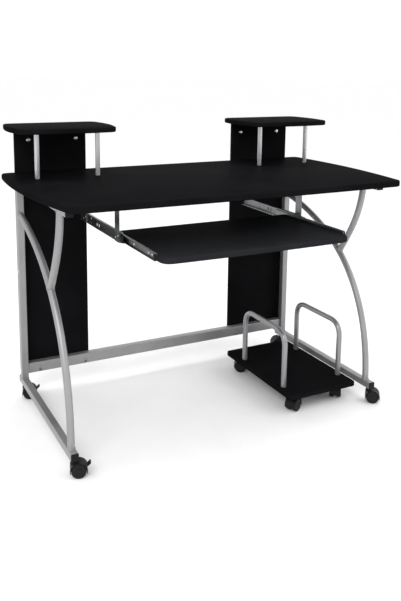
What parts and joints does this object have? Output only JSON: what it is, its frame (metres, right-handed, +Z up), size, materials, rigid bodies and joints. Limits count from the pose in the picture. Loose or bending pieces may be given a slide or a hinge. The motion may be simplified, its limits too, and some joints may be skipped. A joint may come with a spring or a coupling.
{
  "type": "computer desk with keyboard tray",
  "caption": "Black and silver rolling computer desk with raised side shelves, a sliding keyboard tray and a separate rolling computer cart.",
  "frame": {"origin": "on the floor, below the middle of the bounding box", "axes": "+X to the seated user's right, -Y towards the user, +Z up"},
  "size_m": [1.1108, 0.67, 0.885],
  "materials": {
    "black_board": "fine-textured black laminate on particle board",
    "silver_paint": "silver metallic powder coat",
    "chrome": "polished",
    "zinc_plate": "zinc plated",
    "black_plastic": "moulded, fine grain",
    "cart_tube": "smooth silver paint"
  },
  "bodies": {
    "desk_frame": {"tabletop": "black_board", "left_shelf": "black_board", "right_shelf": "black_board", "left_back_panel": "black_board", "right_back_panel": "black_board", "left_shelf_post_inner": "chrome", "right_shelf_post_inner": "chrome", "left_shelf_post_outer": "chrome", "right_shelf_post_outer": "chrome", "left_foot_rail": "silver_paint", "right_foot_rail": "silver_paint", "left_upright": "silver_paint", "right_upright": "silver_paint", "left_top_rail": "silver_paint", "right_top_rail": "silver_paint", "left_long_brace": "silver_paint", "right_long_brace": "silver_paint", "left_short_brace": "silver_paint", "right_short_brace": "silver_paint", "left_foot_plug_front": "black_plastic", "right_foot_plug_front": "black_plastic", "left_foot_plug_rear": "black_plastic", "right_foot_plug_rear": "black_plastic", "left_top_plug_front": "black_plastic", "right_top_plug_front": "black_plastic", "left_slide_outer": "zinc_plate", "right_slide_outer": "zinc_plate", "left_slide_stop": "black_plastic", "right_slide_stop": "black_plastic", "left_slide_hanger_front": "zinc_plate", "right_slide_hanger_front": "zinc_plate", "left_slide_hanger_rear": "zinc_plate", "right_slide_hanger_rear": "zinc_plate", "rear_crossbar": "silver_paint"},
    "tray": {"keyboard_tray": "black_board", "left_slide_inner": "zinc_plate", "right_slide_inner": "zinc_plate"},
    "ball_cages": {"left_slide_ball_cage": "zinc_plate", "right_slide_ball_cage": "zinc_plate"},
    "cart": {"cart_board": "black_board", "cart_left_rail": "cart_tube", "cart_right_rail": "cart_tube"},
    "front_left_swivel": {"front_left_caster_hood": "black_plastic"},
    "front_left_wheels": {"front_left_caster_wheels": "black_plastic"},
    "front_left_brake": {"front_left_caster_brake": "black_plastic"},
    "rear_left_swivel": {"rear_left_caster_hood": "black_plastic"},
    "rear_left_wheels": {"rear_left_caster_wheels": "black_plastic"},
    "rear_left_brake": {"rear_left_caster_brake": "black_plastic"},
    "front_right_swivel": {"front_right_caster_hood": "black_plastic"},
    "front_right_wheels": {"front_right_caster_wheels": "black_plastic"},
    "rear_right_swivel": {"rear_right_caster_hood": "black_plastic"},
    "rear_right_wheels": {"rear_right_caster_wheels": "black_plastic"},
    "cart_front_left_swivel": {"cart_front_left_caster_hood": "black_plastic"},
    "cart_front_left_wheels": {"cart_front_left_caster_wheels": "black_plastic"},
    "cart_rear_left_swivel": {"cart_rear_left_caster_hood": "black_plastic"},
    "cart_rear_left_wheels": {"cart_rear_left_caster_wheels": "black_plastic"},
    "cart_front_right_swivel": {"cart_front_right_caster_hood": "black_plastic"},
    "cart_front_right_wheels": {"cart_front_right_caster_wheels": "black_plastic"},
    "cart_rear_right_swivel": {"cart_rear_right_caster_hood": "black_plastic"},
    "cart_rear_right_wheels": {"cart_rear_right_caster_wheels": "black_plastic"}
  },
  "joints": [
    {"name": "tray_slide", "type": "slide", "parent": "desk_frame", "child": "tray", "axis": [0, -1, 0], "range_m": [-0.224, 0.033]},
    {"name": "cage_slide", "type": "slide", "parent": "desk_frame", "child": "ball_cages", "axis": [0, -1, 0], "range_m": [-0.112, 0.0165]},
    {"name": "cart_roll_out", "type": "slide", "parent": "desk_frame", "child": "cart", "axis": [0, -1, 0], "range_m": [-0.12, 0.45]},
    {"name": "front_left_swivel_turn", "type": "hinge", "parent": "desk_frame", "child": "front_left_swivel", "pos_m": [-0.4934, -0.207, 0.043], "axis": [0, 0, 1], "continuous": true},
    {"name": "front_left_wheels_spin", "type": "hinge", "parent": "front_left_swivel", "child": "front_left_wheels", "pos_m": [-0.48001, -0.21109, 0.02], "axis": [0.2924, 0.9563, 0], "continuous": true},
    {"name": "front_left_brake_press", "type": "hinge", "parent": "front_left_swivel", "child": "front_left_brake", "pos_m": [-0.4587, -0.21761, 0.03087], "axis": [0.2924, 0.9563, 0], "range_deg": [0, 24]},
    {"name": "rear_left_swivel_turn", "type": "hinge", "parent": "desk_frame", "child": "rear_left_swivel", "pos_m": [-0.4934, 0.3, 0.043], "axis": [0, 0, 1], "continuous": true},
    {"name": "rear_left_wheels_spin", "type": "hinge", "parent": "rear_left_swivel", "child": "rear_left_wheels", "pos_m": [-0.47988, 0.29638, 0.02], "axis": [0.2588, 0.9659, 0], "continuous": true},
    {"name": "rear_left_brake_press", "type": "hinge", "parent": "rear_left_swivel", "child": "rear_left_brake", "pos_m": [-0.45835, 0.29061, 0.03087], "axis": [0.2588, 0.9659, 0], "range_deg": [0, 24]},
    {"name": "front_right_swivel_turn", "type": "hinge", "parent": "desk_frame", "child": "front_right_swivel", "pos_m": [0.4934, -0.207, 0.043], "axis": [0, 0, 1], "continuous": true},
    {"name": "front_right_wheels_spin", "type": "hinge", "parent": "front_right_swivel", "child": "front_right_wheels", "pos_m": [0.50413, -0.216, 0.02], "axis": [0.6428, 0.766, 0], "continuous": true},
    {"name": "rear_right_swivel_turn", "type": "hinge", "parent": "desk_frame", "child": "rear_right_swivel", "pos_m": [0.4934, 0.3, 0.043], "axis": [0, 0, 1], "continuous": true},
    {"name": "rear_right_wheels_spin", "type": "hinge", "parent": "rear_right_swivel", "child": "rear_right_wheels", "pos_m": [0.47988, 0.30362, 0.02], "axis": [-0.2588, -0.9659, 0], "continuous": true},
    {"name": "cart_front_left_swivel_turn", "type": "hinge", "parent": "cart", "child": "cart_front_left_swivel", "pos_m": [0.253, -0.144, 0.043], "axis": [0, 0, 1], "continuous": true},
    {"name": "cart_front_left_wheels_spin", "type": "hinge", "parent": "cart_front_left_swivel", "child": "cart_front_left_wheels", "pos_m": [0.24053, -0.15036, 0.02], "axis": [0.454, -0.891, 0], "continuous": true},
    {"name": "cart_rear_left_swivel_turn", "type": "hinge", "parent": "cart", "child": "cart_rear_left_swivel", "pos_m": [0.253, 0.17, 0.043], "axis": [0, 0, 1], "continuous": true},
    {"name": "cart_rear_left_wheels_spin", "type": "hinge", "parent": "cart_rear_left_swivel", "child": "cart_rear_left_wheels", "pos_m": [0.24088, 0.177, 0.02], "axis": [-0.5, -0.866, 0], "continuous": true},
    {"name": "cart_front_right_swivel_turn", "type": "hinge", "parent": "cart", "child": "cart_front_right_swivel", "pos_m": [0.41, -0.144, 0.043], "axis": [0, 0, 1], "continuous": true},
    {"name": "cart_front_right_wheels_spin", "type": "hinge", "parent": "cart_front_right_swivel", "child": "cart_front_right_wheels", "pos_m": [0.41803, -0.13253, 0.02], "axis": [-0.8192, 0.5736, 0], "continuous": true},
    {"name": "cart_rear_right_swivel_turn", "type": "hinge", "parent": "cart", "child": "cart_rear_right_swivel", "pos_m": [0.41, 0.17, 0.043], "axis": [0, 0, 1], "continuous": true},
    {"name": "cart_rear_right_wheels_spin", "type": "hinge", "parent": "cart_rear_right_swivel", "child": "cart_rear_right_wheels", "pos_m": [0.40757, 0.18379, 0.02], "axis": [-0.9848, -0.1736, 0], "continuous": true}
  ],
  "couplings": [
    {"joint": "cage_slide", "follows": "tray_slide", "ratio": 0.5}
  ]
}
